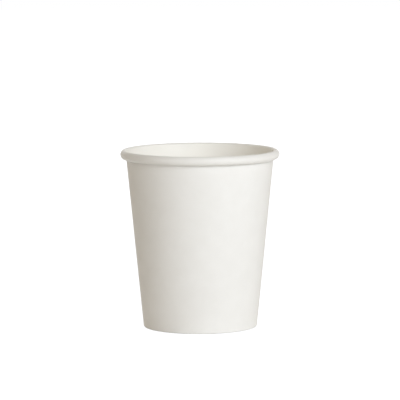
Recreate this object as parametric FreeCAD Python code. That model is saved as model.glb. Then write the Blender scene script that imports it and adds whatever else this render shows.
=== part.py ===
import FreeCAD, Part
import math
import os

# A plain paper coffee cup. One blank of coated board is wrapped to a cone, lapped along its side,
# rolled outwards at the rim and folded in at the heel. The heel grips the skirt of a base disc.
# Lengths are millimetres. The cup stands on z = 0 about the Z axis, and +Y is its far side.

# Whole cup
cup_height = 81.7
rim_diameter = 73.0
foot_diameter = 52.2
wall_board = 0.28

# Rolled rim: an upright oval of a top, a side and a bottom arc
rim_bead_height = 4.08
rim_end_radius = 1.12
rim_side_bulge = 0.45
rim_edge_clearance = 0.05

# Heel: the wall turns in, lies flat on the table and turns up again inside the skirt
heel_radius = 0.75
foot_flat_width = 0.25
tuck_bend_radius = 0.45
tuck_reverse_radius = 1.0
tuck_end_below_base = 0.9

# Base disc
base_board = 0.25
base_rise = 6.5
base_corner_radius = 0.6
skirt_end_height = 1.3
heel_glue_line = 0.02

# Side seam: the outer end of the blank climbs over the inner end and is glued to it
seam_azimuth = 9.0
lap_width = 6.0
lap_lift = 0.05
climb_width = 3.4
climb_steps = 6

UP = FreeCAD.Vector(0, 0, 1)
CENTRE = FreeCAD.Vector(0, 0, 0)
QUARTER = math.pi / 2


def point(x, z):
    return FreeCAD.Vector(x, 0, z)


def around(centre, radius, angle):
    return centre + point(radius * math.cos(angle), radius * math.sin(angle))


def line(start, end):
    return Part.LineSegment(start, end).toShape()


def arc(centre, radius, start_angle, end_angle):
    start = around(centre, radius, start_angle)
    middle = around(centre, radius, (start_angle + end_angle) / 2)
    end = around(centre, radius, end_angle)
    return Part.Arc(start, middle, end).toShape()


# Rim bead, drawn on the coated face of the board
rim_radius = rim_diameter / 2
half_bead = rim_bead_height / 2
bead_middle = cup_height - half_bead
end_centre_drop = half_bead - rim_end_radius
side_radius = rim_end_radius + (end_centre_drop ** 2 + rim_side_bulge ** 2) / (2 * rim_side_bulge)
bead_centre_x = rim_radius - rim_end_radius - rim_side_bulge
top_centre = point(bead_centre_x, bead_middle + end_centre_drop)
bottom_centre = point(bead_centre_x, bead_middle - end_centre_drop)
side_centre = point(rim_radius - side_radius, bead_middle)
side_angle = math.atan2(end_centre_drop, bead_centre_x - side_centre.x)

# Wall: its outside runs straight from the foot circle to the inner side of the bead's top arc
foot_point = point(foot_diameter / 2, 0)
wall_run = top_centre - foot_point
wall_lean = math.acos((rim_end_radius - wall_board) / wall_run.Length) - math.atan2(wall_run.z, wall_run.x)
outward = point(math.cos(wall_lean), -math.sin(wall_lean))
wall_reach = outward.dot(foot_point) - wall_board

# Heel: the tuck's coated face lies past the skirt, with a line of glue on each side of it
tuck_reach = wall_reach - base_board - 2 * heel_glue_line
lean_rise = 1 - math.sin(wall_lean)
heel_centre_x = (wall_reach + wall_board - heel_radius * lean_rise) / math.cos(wall_lean)
tuck_centre_x = heel_centre_x - foot_flat_width


def on_cone(reach, z):
    """The point at height z on the cone that lies reach out along the wall's outward normal."""
    return point((reach + math.sin(wall_lean) * z) / math.cos(wall_lean), z)


def rim_edge_angle(outermost):
    """Where the roll ends: its coated face just clears the wall, or comes nearest to it.

    The roll of a wide, shallow cup stands off from its wall, and turns on until it faces it.
    """
    to_wall = outward.dot(bottom_centre) - wall_reach - outermost - rim_edge_clearance
    reach_of_roll = min(to_wall, rim_end_radius)
    return -math.acos(-reach_of_roll / rim_end_radius) - wall_lean


def board_face(layer, outermost):
    """Edges of one face of the board, from the rolled edge at the rim to the tuck's edge.

    A layer is a distance from the coated face towards the uncoated one. The outermost layer
    of a single board lies flat on the table. Where the board is raised or doubled by the lap,
    its heel is pressed up until it stands the lap's lift clear of the table.
    """
    depth = outermost - layer
    end_radius = rim_end_radius - layer
    lift = lap_lift * (outermost - wall_board) / wall_board
    raised_reach = wall_reach + outermost + math.sin(wall_lean) * lift
    heel_bend = (raised_reach - math.cos(wall_lean) * heel_centre_x) / lean_rise
    tuck_bend = tuck_bend_radius + outermost - wall_board
    heel_centre = point(heel_centre_x, lift + heel_bend)
    tuck_centre = point(tuck_centre_x, lift + tuck_bend)
    bend_gap = tuck_bend + tuck_reverse_radius
    fullness = tuck_reach - outermost + tuck_bend - outward.dot(tuck_centre)
    reverse_turn = math.acos((bend_gap - fullness) / bend_gap)
    tuck_turn = math.pi - wall_lean - reverse_turn
    reverse_centre = around(tuck_centre, bend_gap, tuck_turn)
    tuck_end = on_cone(tuck_reach, base_rise - tuck_end_below_base) - outward * layer
    wall_top = around(top_centre, end_radius, math.pi - wall_lean)
    wall_foot = around(heel_centre, heel_bend - depth, -wall_lean)
    flat_outside = point(heel_centre_x, lift + depth)
    flat_inside = point(tuck_centre_x, lift + depth)
    tuck_foot = around(reverse_centre, tuck_reverse_radius + depth, -wall_lean)
    return [
        arc(bottom_centre, end_radius, rim_edge_angle(outermost), -side_angle),
        arc(side_centre, side_radius - layer, -side_angle, side_angle),
        arc(top_centre, end_radius, side_angle, math.pi - wall_lean),
        line(wall_top, wall_foot),
        arc(heel_centre, heel_bend - depth, -wall_lean, -QUARTER),
        line(flat_outside, flat_inside),
        arc(tuck_centre, tuck_bend - depth, -QUARTER, tuck_turn - 2 * math.pi),
        arc(reverse_centre, tuck_reverse_radius + depth, -wall_lean - reverse_turn, -wall_lean),
        line(tuck_foot, tuck_end),
    ]


def board_section(innermost, outermost, azimuth):
    """The closed outline of the board between two layers, turned to its azimuth."""
    coated = board_face(innermost, outermost)
    uncoated = board_face(outermost, outermost)
    rim_edge = line(coated[0].firstVertex().Point, uncoated[0].firstVertex().Point)
    tuck_edge = line(coated[-1].lastVertex().Point, uncoated[-1].lastVertex().Point)
    outline = Part.Wire(coated + [tuck_edge] + uncoated[::-1] + [rim_edge])
    return outline.rotated(CENTRE, UP, azimuth)


def turned(outline, sweep):
    return Part.Face(outline).revolve(CENTRE, UP, sweep)


def side_wall():
    """The wrapped blank: a single layer, a climb over the inner end, and the glued lap."""
    mean_radius = (rim_diameter + foot_diameter) / 4
    lap_angle = math.degrees(lap_width / mean_radius)
    climb_angle = math.degrees(climb_width / mean_radius)
    lap = turned(board_section(0, 2 * wall_board, seam_azimuth), lap_angle)
    single_sweep = 360 - lap_angle - climb_angle
    single = turned(board_section(0, wall_board, seam_azimuth + lap_angle), single_sweep)
    climb_sections = []
    for step in range(climb_steps + 1):
        share = step / climb_steps
        raised = wall_board * (1 - math.cos(math.pi * share)) / 2
        azimuth = seam_azimuth - climb_angle * (1 - share)
        climb_sections.append(board_section(raised, raised + wall_board, azimuth))
    climb = Part.makeLoft(climb_sections, True, True)
    return single.fuse([lap, climb])


def base_disc():
    """A flat round panel whose edge turns down into a skirt along the inside of the wall."""
    skirt_reach = wall_reach - heel_glue_line
    panel_top = base_rise + base_board
    corner_height = panel_top - base_corner_radius
    corner_centre = on_cone(skirt_reach - base_corner_radius, corner_height)
    inner_corner = base_corner_radius - base_board
    skirt_end_outside = on_cone(skirt_reach, skirt_end_height)
    skirt_end_inside = skirt_end_outside - outward * base_board
    outline = Part.Wire([
        line(point(0, base_rise), point(0, panel_top)),
        line(point(0, panel_top), around(corner_centre, base_corner_radius, QUARTER)),
        arc(corner_centre, base_corner_radius, QUARTER, -wall_lean),
        line(around(corner_centre, base_corner_radius, -wall_lean), skirt_end_outside),
        line(skirt_end_outside, skirt_end_inside),
        line(skirt_end_inside, around(corner_centre, inner_corner, -wall_lean)),
        arc(corner_centre, inner_corner, -wall_lean, QUARTER),
        line(around(corner_centre, inner_corner, QUARTER), point(0, base_rise)),
    ])
    return turned(outline, 360)


os.makedirs("parts", exist_ok=True)
side_wall().exportStep("parts/side_wall.step")
base_disc().exportStep("parts/base_disc.step")
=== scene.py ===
import math

import bmesh
import bpy
import numpy as np
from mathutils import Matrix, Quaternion, Vector


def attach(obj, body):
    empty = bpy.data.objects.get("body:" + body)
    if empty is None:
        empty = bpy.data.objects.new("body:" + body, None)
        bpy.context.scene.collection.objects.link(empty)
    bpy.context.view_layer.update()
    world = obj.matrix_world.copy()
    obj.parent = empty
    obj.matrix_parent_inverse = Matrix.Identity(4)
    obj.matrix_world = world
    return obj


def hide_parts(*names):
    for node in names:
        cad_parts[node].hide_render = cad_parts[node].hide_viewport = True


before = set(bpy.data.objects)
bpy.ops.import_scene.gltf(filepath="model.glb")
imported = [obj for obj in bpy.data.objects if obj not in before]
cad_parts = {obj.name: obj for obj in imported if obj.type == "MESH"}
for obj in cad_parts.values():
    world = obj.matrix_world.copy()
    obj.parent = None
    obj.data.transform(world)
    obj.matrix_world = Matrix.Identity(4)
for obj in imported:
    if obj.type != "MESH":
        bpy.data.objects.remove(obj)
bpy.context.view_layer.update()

# A plain white paper cup: one wrapped board with a rolled rim and a folded heel, and its base disc.
# Shapes are worked out in millimetres and written into the meshes in metres. The cup stands on
# z = 0 about the Z axis, and +Y is its far side.
MM = 0.001
FULL_TURN = 360.0
QUARTER = math.pi / 2

# In a mesh, edges that turn by more than this are sharp, and points this near, in metres, are one
SHARP_TURN = math.radians(50)
SAME_POINT = 1e-8

# Places in a piece's list of finishes
OUTSIDE = 0
COATED = 1
CUT_EDGE = 2

# Whole cup
CUP_HEIGHT = 81.7
RIM_RADIUS = 36.5
FOOT_RADIUS = 26.1
WALL_BOARD = 0.28

# Rolled rim
BEAD_HEIGHT = 4.08
RIM_END_RADIUS = 1.12
RIM_SIDE_BULGE = 0.45
RIM_EDGE_CLEARANCE = 0.05

# Heel
HEEL_RADIUS = 0.75
FOOT_FLAT = 0.25
TUCK_BEND_RADIUS = 0.45
TUCK_REVERSE_RADIUS = 1.0
TUCK_END_BELOW_BASE = 0.9

# Base disc
BASE_BOARD = 0.25
BASE_RISE = 6.5
BASE_CORNER_RADIUS = 0.6
SKIRT_END_HEIGHT = 1.3
GLUE_LINE = 0.02

# Side seam
SEAM_AZIMUTH = 9.0
LAP_WIDTH = 6.0
LAP_LIFT = 0.05
CLIMB_WIDTH = 3.4
SETTLE_WIDTH = 1.2
PLY_GAP = 0.004

# Marks of making: the knurled heel, the gathered edge of the base and a wall that isn't quite round
KNURLS = 96
KNURL_DEPTH = 0.05
GATHER_DEPTH = 0.03
OUT_OF_ROUND = 0.03
WALL_WAVE = 0.015

# Rim bead and wall, worked out as the board's own section is
half_bead = BEAD_HEIGHT / 2
bead_middle = CUP_HEIGHT - half_bead
centre_drop = half_bead - RIM_END_RADIUS
side_radius = RIM_END_RADIUS + (centre_drop ** 2 + RIM_SIDE_BULGE ** 2) / (2 * RIM_SIDE_BULGE)
bead_x = RIM_RADIUS - RIM_END_RADIUS - RIM_SIDE_BULGE
side_x = RIM_RADIUS - side_radius
side_angle = math.atan2(centre_drop, bead_x - side_x)
wall_run = math.hypot(bead_x - FOOT_RADIUS, bead_middle + centre_drop)
wall_rise = math.atan2(bead_middle + centre_drop, bead_x - FOOT_RADIUS)
wall_lean = math.acos((RIM_END_RADIUS - WALL_BOARD) / wall_run) - wall_rise
lean_cos = math.cos(wall_lean)
lean_sin = math.sin(wall_lean)
wall_reach = lean_cos * FOOT_RADIUS - WALL_BOARD
tuck_reach = wall_reach - BASE_BOARD - 2 * GLUE_LINE
heel_x = (wall_reach + WALL_BOARD - HEEL_RADIUS * (1 - lean_sin)) / lean_cos
tuck_x = heel_x - FOOT_FLAT
mean_radius = (RIM_RADIUS + FOOT_RADIUS) / 2


def arc(x, z, radius, start, end, steps):
    """Points on a circle about (x, z), at even angles from start up to the step before end."""
    share = np.arange(steps) / steps
    angle = start + (end - start) * share
    return x + radius * np.cos(angle), z + radius * np.sin(angle)


def straight(start, end, steps):
    """Points at even steps from start up to the step before end."""
    share = np.arange(steps) / steps
    return start[0] + (end[0] - start[0]) * share, start[1] + (end[1] - start[1]) * share


def on_cone(reach, z):
    """The point at height z on the cone that lies reach out along the wall's outward normal."""
    return (reach + lean_sin * z) / lean_cos, z


def smooth_step(value):
    """Half a cosine wave, from 0 at value 0 to 1 at value 1, and level outside."""
    return (1 - np.cos(math.pi * np.clip(value, 0, 1))) / 2


# Steps along each stretch of the board's section, from the rolled edge to the tuck's edge
RIM_BOTTOM = 11
RIM_SIDE = 9
RIM_TOP = 14
WALL = 15
HEEL = 7
FLAT = 1
TUCK_BEND = 6
REVERSE = 5
TUCK = 5


def board_face(layer, outermost):
    """One face of the board at every azimuth: radius and height, one row for each azimuth.

    The section is an oval bead of a bottom, a side and a top arc, a straight wall, a bend on to
    the table, a short flat, a bend up, a reverse bend and the straight tuck. A layer is the
    distance from the coated face towards the uncoated one, and every bend is concentric about
    the outermost layer, which lies on the table where the board is single.
    """
    layer = layer[:, None]
    outermost = outermost[:, None]
    depth = outermost - layer
    end_radius = RIM_END_RADIUS - layer
    to_wall = lean_cos * bead_x - lean_sin * (bead_middle - centre_drop)
    to_wall = to_wall - wall_reach - outermost - RIM_EDGE_CLEARANCE
    edge_angle = -np.arccos(-np.minimum(to_wall / RIM_END_RADIUS, 1)) - wall_lean
    lift = LAP_LIFT * (outermost - WALL_BOARD) / WALL_BOARD
    heel_bend = (wall_reach + outermost + lean_sin * lift - lean_cos * heel_x) / (1 - lean_sin)
    tuck_bend = TUCK_BEND_RADIUS + outermost - WALL_BOARD
    bend_gap = tuck_bend + TUCK_REVERSE_RADIUS
    fullness = tuck_reach - outermost + tuck_bend - lean_cos * tuck_x + lean_sin * (lift + tuck_bend)
    reverse_turn = np.arccos((bend_gap - fullness) / bend_gap)
    tuck_turn = math.pi - wall_lean - reverse_turn
    reverse_x = tuck_x + bend_gap * np.cos(tuck_turn)
    reverse_z = lift + tuck_bend + bend_gap * np.sin(tuck_turn)
    reverse_radius = TUCK_REVERSE_RADIUS + depth
    top_end = math.pi - wall_lean
    top_z = bead_middle + centre_drop
    wall_top = bead_x + end_radius * math.cos(top_end), top_z + end_radius * math.sin(top_end)
    heel_z = lift + heel_bend
    wall_foot = heel_x + (heel_bend - depth) * lean_cos, heel_z - (heel_bend - depth) * lean_sin
    tuck_foot = reverse_x + reverse_radius * lean_cos, reverse_z - reverse_radius * lean_sin
    tuck_end = on_cone(tuck_reach, BASE_RISE - TUCK_END_BELOW_BASE)
    tuck_end = tuck_end[0] - lean_cos * layer, tuck_end[1] + lean_sin * layer
    flat_z = lift + depth
    stretches = [
        arc(bead_x, bead_middle - centre_drop, end_radius, edge_angle, -side_angle, RIM_BOTTOM),
        arc(side_x, bead_middle, side_radius - layer, -side_angle, side_angle, RIM_SIDE),
        arc(bead_x, top_z, end_radius, side_angle, top_end, RIM_TOP),
        straight(wall_top, wall_foot, WALL),
        arc(heel_x, heel_z, heel_bend - depth, -wall_lean, -QUARTER, HEEL),
        straight((heel_x, flat_z), (tuck_x, flat_z), FLAT),
        arc(tuck_x, lift + tuck_bend, tuck_bend - depth, -QUARTER, tuck_turn - 2 * math.pi, TUCK_BEND),
        arc(reverse_x, reverse_z, reverse_radius, -wall_lean - reverse_turn, -wall_lean, REVERSE),
        straight(tuck_foot, tuck_end, TUCK),
        tuck_end,
    ]
    rows = len(layer)
    radius = np.hstack([np.broadcast_to(x, (rows, np.shape(x)[-1])) for x, z in stretches])
    height = np.hstack([np.broadcast_to(z, (rows, np.shape(z)[-1])) for x, z in stretches])
    return radius, height


def put_in_mesh(name, vertices, faces, finish_of_face, finishes, rim_shade):
    """A mesh object at the origin from points in millimetres and rings of point numbers.

    Points that fall together become one. Each point also keeps how much of the rim's painted
    shade it takes, from 0 to 1.
    """
    mesh = bpy.data.meshes.new(name)
    mesh.from_pydata((vertices * MM).tolist(), [], faces.tolist())
    mesh.attributes.new("painted_rim_shade", "FLOAT", "POINT").data.foreach_set("value", rim_shade)
    for finish in finishes:
        mesh.materials.append(finish)
    mesh.polygons.foreach_set("material_index", finish_of_face)
    mesh.update()
    merged = bmesh.new()
    merged.from_mesh(mesh)
    bmesh.ops.remove_doubles(merged, verts=merged.verts, dist=SAME_POINT)
    merged.to_mesh(mesh)
    merged.free()
    mesh.shade_smooth()
    mesh.set_sharp_from_angle(angle=SHARP_TURN)
    piece = bpy.data.objects.new(name, mesh)
    bpy.context.scene.collection.objects.link(piece)
    return piece


def grid_faces(rows, columns):
    """Quads of a grid of points that closes along its columns and stays open along its rows."""
    row = np.arange(rows - 1)[:, None] * columns
    column = np.arange(columns)[None, :]
    after = (column + 1) % columns
    corners = [row + column, row + after, row + columns + after, row + columns + column]
    return np.stack(corners, axis=-1).reshape(-1, 4)


def make_side_wall(finishes):
    """The wrapped board: its section swept once round the axis and on over its own first end.

    Along the sweep the board lies on the first circle, climbs by its own thickness and a small
    gap in half a cosine wave just before the turn is complete, and stays there over the lap. The
    heel's bends make room for both plies along the lap, and settle to those of one beside it.
    """
    azimuth_steps = 580
    lap = math.degrees(LAP_WIDTH / mean_radius)
    climb = math.degrees(CLIMB_WIDTH / mean_radius)
    settle = math.degrees(SETTLE_WIDTH / mean_radius)
    travel = np.linspace(0, FULL_TURN + lap, azimuth_steps)
    ply = WALL_BOARD + PLY_GAP
    raised = ply * smooth_step((travel - FULL_TURN + climb) / climb)
    covered = ply * smooth_step((lap + settle - travel) / settle)
    outermost = WALL_BOARD + np.maximum(raised, covered)
    coated_face = board_face(raised, outermost)
    uncoated_face = board_face(raised + WALL_BOARD, outermost)
    azimuth = np.radians(SEAM_AZIMUTH + travel)[:, None]

    # Knurls of the heel tool, pressed into the tuck and fading out to its edges along a sine
    points = coated_face[0].shape[1]
    knurled = REVERSE + TUCK
    first_share = 0.12
    along_tuck = np.zeros(points)
    along_tuck[-knurled:] = np.sin(math.pi * np.linspace(first_share, 1 - first_share, knurled))
    knurls = (1 + np.cos(KNURLS * azimuth)) / 2
    uncoated_radius = uncoated_face[0] + KNURL_DEPTH * along_tuck * knurls

    # The rim's painted shade: all round the coated face of the bead, and ever less from its crown to the
    # wall
    crown_to_wall = 7
    before_wall = RIM_BOTTOM + RIM_SIDE + RIM_TOP - np.arange(2 * points)
    rim_shade = np.tile(smooth_step(before_wall / crown_to_wall), azimuth_steps)

    radius = np.hstack([coated_face[0], uncoated_radius[:, ::-1]])
    height = np.hstack([coated_face[1], uncoated_face[1][:, ::-1]])

    # Oval, most at the rim, with five and eight waves round the wall that lean opposite ways
    up = height / CUP_HEIGHT
    oval = OUT_OF_ROUND * up ** 2 * np.cos(2 * azimuth)
    waves = np.cos(5 * azimuth + 3 * up) + np.cos(8 * azimuth - 5 * up + 1)
    radius = radius + oval + WALL_WAVE * np.sin(math.pi * up) * waves
    vertices = np.stack([radius * np.cos(azimuth), radius * np.sin(azimuth), height], axis=-1).reshape(-1, 3)

    columns = 2 * points
    faces = grid_faces(azimuth_steps, columns)
    column = np.tile(np.arange(columns), azimuth_steps - 1)
    finish = np.where(column < points, COATED, OUTSIDE)
    finish[(column == points - 1) | (column == columns - 1)] = CUT_EDGE

    # The board's two ends, closed by a strip of quads from face to face
    near = np.arange(points - 1)
    strip = np.stack([near, columns - 1 - near, columns - 2 - near, near + 1], axis=-1)
    last = strip[:, ::-1] + (azimuth_steps - 1) * columns
    faces = np.vstack([faces, strip, last])
    finish = np.append(finish, np.full(2 * len(strip), CUT_EDGE))
    outwards = faces[:, ::-1]
    piece = put_in_mesh("wrapped_side_wall", vertices, outwards, finish, finishes, rim_shade)
    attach(piece, "root")
    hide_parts("side_wall")


def make_base_disc(finishes):
    """The base: a round panel, a quarter bend and a skirt, turned about the axis.

    The panel's edge is gathered a little by the turning down: unevenly spaced waves round the
    panel, 61 fine ones and 38 lower, broader ones, fade out towards the middle and before the
    skirt.
    """
    azimuth_steps = 481
    panel_steps = 26
    corner_steps = 8
    skirt_steps = 6
    skirt_reach = wall_reach - GLUE_LINE
    panel_top = BASE_RISE + BASE_BOARD
    corner_z = panel_top - BASE_CORNER_RADIUS
    corner_x = on_cone(skirt_reach - BASE_CORNER_RADIUS, corner_z)[0]
    skirt_end = on_cone(skirt_reach, SKIRT_END_HEIGHT)

    def face(depth):
        """The face that lies depth below the coated one, from the middle to the skirt's end."""
        bend = BASE_CORNER_RADIUS - depth
        skirt_top = corner_x + bend * lean_cos, corner_z - bend * lean_sin
        end = skirt_end[0] - depth * lean_cos, skirt_end[1] + depth * lean_sin
        stretches = [
            straight((0, panel_top - depth), (corner_x, panel_top - depth), panel_steps),
            arc(corner_x, corner_z, bend, QUARTER, -wall_lean, corner_steps),
            straight(skirt_top, end, skirt_steps),
            (np.array([end[0]]), np.array([end[1]])),
        ]
        radius = np.hstack([x for x, z in stretches])
        height = np.hstack([np.broadcast_to(z, np.shape(x)) for x, z in stretches])
        return radius, height

    coated_radius, coated_height = face(0)
    under_radius, under_height = face(BASE_BOARD)
    points = len(coated_radius)
    radius = np.append(coated_radius, under_radius[::-1])[None, :]
    height = np.append(coated_height, under_height[::-1])[None, :]
    azimuth = np.linspace(0, 2 * math.pi, azimuth_steps)[:, None]
    gathers_begin = 0.72 * corner_x
    gathers_grow = 0.2 * corner_x
    near_edge = smooth_step((radius - gathers_begin) / gathers_grow)
    before_skirt = smooth_step((height - corner_z) / BASE_CORNER_RADIUS)
    fine = np.cos(61 * azimuth + 1.5 * np.cos(5 * azimuth))
    broad = 0.6 * np.cos(38 * azimuth + 2 * np.cos(3 * azimuth))
    height = height + GATHER_DEPTH * near_edge * before_skirt * (fine + broad)
    radius = np.broadcast_to(radius, height.shape)
    vertices = np.stack([radius * np.cos(azimuth), radius * np.sin(azimuth), height], axis=-1).reshape(-1, 3)
    columns = 2 * points
    faces = grid_faces(azimuth_steps, columns)
    column = np.tile(np.arange(columns), azimuth_steps - 1)
    on_axis = column == columns - 1
    faces = faces[~on_axis]
    column = column[~on_axis]
    finish = np.where(column < points, COATED, OUTSIDE)
    finish[column == points - 1] = CUT_EDGE
    outwards = faces[:, ::-1]
    # The base takes none of the rim's painted shade
    rim_shade = np.zeros(len(vertices))
    piece = put_in_mesh("pressed_base_disc", vertices, outwards, finish, finishes, rim_shade)
    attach(piece, "root")
    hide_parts("base_disc")


class Board:
    """A node material for a face of the board, built up socket by socket."""

    def __init__(self, name):
        self.material = bpy.data.materials.new(name)
        self.material.use_nodes = True
        self.nodes = self.material.node_tree.nodes
        self.links = self.material.node_tree.links
        self.shader = self.nodes["Principled BSDF"]
        self.place = self.nodes.new("ShaderNodeTexCoord").outputs["Object"]

    def stretched(self, scale):
        """Object coordinates, drawn out by one over scale along each axis."""
        mapping = self.nodes.new("ShaderNodeMapping")
        mapping.inputs["Scale"].default_value = scale
        self.links.new(self.place, mapping.inputs["Vector"])
        return mapping.outputs["Vector"]

    def noise(self, feature, detail=3.0, place=None):
        """Cloudy noise whose features are about that many millimetres across."""
        noise = self.nodes.new("ShaderNodeTexNoise")
        noise.inputs["Scale"].default_value = 1 / (feature * MM)
        noise.inputs["Detail"].default_value = detail
        noise.inputs["Roughness"].default_value = 0.55
        self.links.new(place or self.place, noise.inputs["Vector"])
        return noise.outputs["Fac"]

    def between(self, value, low, high):
        """The noise value, taken from its middle band to the range low to high."""
        spread = 0.2
        span = self.nodes.new("ShaderNodeMapRange")
        span.inputs["From Min"].default_value = 0.5 - spread
        span.inputs["From Max"].default_value = 0.5 + spread
        span.inputs["To Min"].default_value = low
        span.inputs["To Max"].default_value = high
        self.links.new(value, span.inputs["Value"])
        return span.outputs["Result"]

    def shade(self, factor, first, second):
        """A colour from first where the factor is 0 to second where it is 1.

        Each of the two is a red, green and blue, or another shade.
        """
        mix = self.nodes.new("ShaderNodeMix")
        mix.data_type = "RGBA"
        for end, colour in (("A", first), ("B", second)):
            if isinstance(colour, tuple):
                mix.inputs[end].default_value = (*colour, 1)
            else:
                self.links.new(colour, mix.inputs[end])
        self.links.new(factor, mix.inputs["Factor"])
        return mix.outputs["Result"]

    def colour(self, shade):
        """Gives the board that shade."""
        self.links.new(shade, self.shader.inputs["Base Color"])

    def relief(self, layers):
        """Bumps one on another: each a height in millimetres over a noise value."""
        normal = None
        for value, height in layers:
            bump = self.nodes.new("ShaderNodeBump")
            bump.inputs["Distance"].default_value = height * MM
            self.links.new(value, bump.inputs["Height"])
            if normal:
                self.links.new(normal, bump.inputs["Normal"])
            normal = bump.outputs["Normal"]
        self.links.new(normal, self.shader.inputs["Normal"])


def uncoated_board():
    """Bare white board: matt, faintly cloudy, with fibres that lie round the cup."""
    board = Board("uncoated_board")
    clouds = board.between(board.noise(7.0), 0, 1)
    board.colour(board.shade(clouds, (0.885, 0.872, 0.842), (0.905, 0.893, 0.865)))
    fibres = board.noise(0.35, detail=4, place=board.stretched((1, 1, 3)))
    felt = board.noise(1.6, detail=2)
    board.links.new(board.between(fibres, 0.72, 0.9), board.shader.inputs["Roughness"])
    board.relief([(fibres, 0.02), (felt, 0.016)])
    board.shader.inputs["Specular IOR Level"].default_value = 0.35
    return board.material


def coated_board():
    """Board under its thin clear coating: smoother and a little glossier than the bare side.

    Its colour is painted lighter than the bare side, as painted light inside the cup, and darker round the
    rolled rim, as painted shade.
    """
    board = Board("coated_board")
    clouds = board.between(board.noise(9.0), 0, 1)
    # Painted light for the inside of the cup and painted shade round the rim, mixed by each point's share of
    # the rim's shade
    lit_coating = board.shade(clouds, (0.933, 0.917, 0.869), (0.953, 0.936, 0.887))
    shaded_rim_coating = board.shade(clouds, (0.864, 0.848, 0.81), (0.884, 0.867, 0.83))
    rim_shade = board.nodes.new("ShaderNodeAttribute")
    rim_shade.attribute_name = "painted_rim_shade"
    board.colour(board.shade(rim_shade.outputs["Fac"], lit_coating, shaded_rim_coating))
    orange_peel = board.noise(0.9, detail=2)
    board.links.new(board.between(orange_peel, 0.42, 0.54), board.shader.inputs["Roughness"])
    board.relief([(orange_peel, 0.008)])
    board.shader.inputs["Specular IOR Level"].default_value = 0.3
    return board.material


def raw_cut_edge():
    """The cut edge of the board: rough and slightly creamy, with the ends of its fibres."""
    board = Board("raw_cut_edge")
    ends = board.noise(0.12, detail=4)
    board.colour(board.shade(board.between(ends, 0, 1), (0.7, 0.67, 0.6), (0.86, 0.84, 0.79)))
    board.relief([(ends, 0.03)])
    board.shader.inputs["Roughness"].default_value = 0.95
    board.shader.inputs["Specular IOR Level"].default_value = 0.2
    return board.material


def seen_through_optics(nodes, links):
    """One where a ray comes from the camera, a mirror-like surface or clear matter, else zero."""
    path = nodes.new("ShaderNodeLightPath")
    total = path.outputs["Is Camera Ray"]
    for ray in ("Is Glossy Ray", "Is Transmission Ray"):
        larger = nodes.new("ShaderNodeMath")
        larger.operation = "MAXIMUM"
        links.new(total, larger.inputs[0])
        links.new(path.outputs[ray], larger.inputs[1])
        total = larger.outputs["Value"]
    return total


def make_floor():
    """A pale floor that looks white and takes the cup's soft shadow, and is clear from below.

    To the eye it is a darker paper with an even white glow added. To the cup it is a paler paper
    that sends back the lamps' light, without the glow.
    """
    floor_half = 3.0
    lit_paper = (0.85, 0.84, 0.82, 1)
    seen_paper = (0.36, 0.36, 0.36, 1)
    even_white = (0.9, 0.915, 0.94, 1)
    mesh = bpy.data.meshes.new("floor")
    corners = [(-floor_half, -floor_half, 0), (floor_half, -floor_half, 0)]
    corners += [(floor_half, floor_half, 0), (-floor_half, floor_half, 0)]
    mesh.from_pydata(corners, [], [(0, 1, 2, 3)])
    floor = bpy.data.objects.new("floor", mesh)
    bpy.context.scene.collection.objects.link(floor)
    material = bpy.data.materials.new("pale_floor")
    material.use_nodes = True
    nodes = material.node_tree.nodes
    links = material.node_tree.links
    nodes.remove(nodes["Principled BSDF"])
    dull = nodes.new("ShaderNodeBsdfDiffuse")
    seen = seen_through_optics(nodes, links)
    paper_sweep = nodes.new("ShaderNodeMix")
    paper_sweep.data_type = "RGBA"
    paper_sweep.inputs["A"].default_value = lit_paper
    paper_sweep.inputs["B"].default_value = seen_paper
    links.new(seen, paper_sweep.inputs["Factor"])
    links.new(paper_sweep.outputs["Result"], dull.inputs["Color"])
    glow = nodes.new("ShaderNodeEmission")
    glow.inputs["Color"].default_value = even_white
    links.new(seen, glow.inputs["Strength"])
    both = nodes.new("ShaderNodeAddShader")
    links.new(dull.outputs["BSDF"], both.inputs[0])
    links.new(glow.outputs["Emission"], both.inputs[1])
    below = nodes.new("ShaderNodeNewGeometry")
    clear = nodes.new("ShaderNodeBsdfTransparent")
    side = nodes.new("ShaderNodeMixShader")
    links.new(below.outputs["Backfacing"], side.inputs["Fac"])
    links.new(both.outputs["Shader"], side.inputs[1])
    links.new(clear.outputs["BSDF"], side.inputs[2])
    links.new(side.outputs["Shader"], nodes["Material Output"].inputs["Surface"])
    mesh.materials.append(material)


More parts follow.
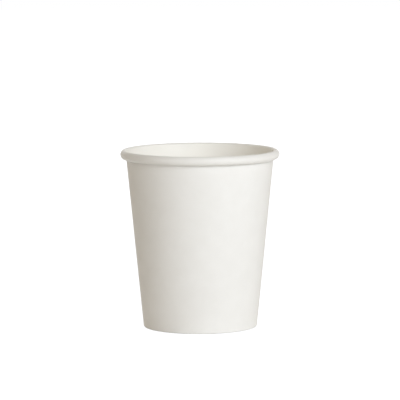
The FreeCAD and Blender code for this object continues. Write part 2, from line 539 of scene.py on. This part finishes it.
def make_world():
    """White to the eye, and a warm fill all round from a soft band of sky above the horizon.

    The band's strength falls evenly from its middle height to nothing at its two edges.
    """
    band_middle = math.radians(30)
    band_half = math.radians(30)
    band_strength = 0.69
    warm_sky = (1.0, 0.855, 0.65, 1)
    world = bpy.data.worlds.new("studio")
    bpy.context.scene.world = world
    world.use_nodes = True
    nodes = world.node_tree.nodes
    links = world.node_tree.links

    def worked_out(operation, first, second=None):
        """The outcome of one step of arithmetic on a linked value, and a number where it needs one."""
        step = nodes.new("ShaderNodeMath")
        step.operation = operation
        links.new(first, step.inputs[0])
        if second is not None:
            step.inputs[1].default_value = second
        return step.outputs["Value"]

    direction = nodes.new("ShaderNodeTexCoord")
    split = nodes.new("ShaderNodeSeparateXYZ")
    links.new(direction.outputs["Generated"], split.inputs["Vector"])
    elevation = worked_out("ARCSINE", split.outputs["Z"])
    off_middle = worked_out("ABSOLUTE", worked_out("SUBTRACT", elevation, band_middle))
    band = nodes.new("ShaderNodeMapRange")
    band.inputs["From Min"].default_value = 0.0
    band.inputs["From Max"].default_value = band_half
    band.inputs["To Min"].default_value = band_strength
    band.inputs["To Max"].default_value = 0.0
    links.new(off_middle, band.inputs["Value"])
    fill = nodes["Background"]
    fill.inputs["Color"].default_value = warm_sky
    links.new(band.outputs["Result"], fill.inputs["Strength"])
    white = nodes.new("ShaderNodeBackground")
    white.inputs["Color"].default_value = (1, 1, 1, 1)
    choice = nodes.new("ShaderNodeMixShader")
    links.new(seen_through_optics(nodes, links), choice.inputs["Fac"])
    links.new(fill.outputs["Background"], choice.inputs[1])
    links.new(white.outputs["Background"], choice.inputs[2])
    links.new(choice.outputs["Shader"], nodes["World Output"].inputs["Surface"])


def make_soft_box(name, azimuth, elevation, width, height, energy, colour):
    """A large soft lamp aimed at the middle of the cup.

    Its azimuth is in degrees from the camera round to the right, its elevation in degrees above
    level, and its distance and sides are in metres.
    """
    distance = 1.5
    turn = math.radians(azimuth)
    rise = math.radians(elevation)
    lamp = bpy.data.lights.new(name, "AREA")
    lamp.shape = "RECTANGLE"
    lamp.size = width
    lamp.size_y = height
    lamp.energy = energy
    lamp.color = colour
    box = bpy.data.objects.new(name, lamp)
    bpy.context.scene.collection.objects.link(box)
    away = Vector((math.sin(turn) * math.cos(rise), -math.cos(turn) * math.cos(rise), math.sin(rise)))
    middle = Vector((0, 0, CUP_HEIGHT / 2 * MM))
    box.location = middle + away * distance
    box.rotation_euler = away.to_track_quat("Z", "Y").to_euler()
    return box


def make_camera():
    """The photograph's view: a long lens above the rim, tilted a little down and hardly rolled.

    The lens is the sensor's width times the focal length in pixels over the photograph's width.
    """
    elevation = math.radians(6.43)
    distance = 1.400
    roll = math.radians(-0.16)
    photo_width_px = 400
    focal_px = 3045.0
    aim = Vector((-0.02, 0, 58.39)) * MM
    data = bpy.data.cameras.new("camera")
    data.sensor_width = 36.0
    data.lens = data.sensor_width * focal_px / photo_width_px
    camera = bpy.data.objects.new("camera", data)
    bpy.context.scene.collection.objects.link(camera)
    away = Vector((0, -math.cos(elevation), math.sin(elevation)))
    camera.location = aim + away * distance
    upright = away.to_track_quat("Z", "Y")
    camera.rotation_euler = (upright @ Quaternion((0, 0, 1), roll)).to_euler()
    bpy.context.scene.camera = camera


board_finishes = [uncoated_board(), coated_board(), raw_cut_edge()]
make_side_wall(board_finishes)
make_base_disc(board_finishes)
make_floor()
make_world()
make_soft_box("key", azimuth=30, elevation=22, width=1.4, height=0.9, energy=17.6,
              colour=(0.862, 0.924, 1.0))
back_light = make_soft_box("back_light", azimuth=190, elevation=25, width=1.4, height=1.0,
                           energy=12.4, colour=(0.95, 0.973, 1.0))

# Without its gleam, the two ends of the rim stand out from the white behind them
back_light.visible_glossy = False
make_camera()
bpy.context.scene.view_settings.view_transform = "Standard"
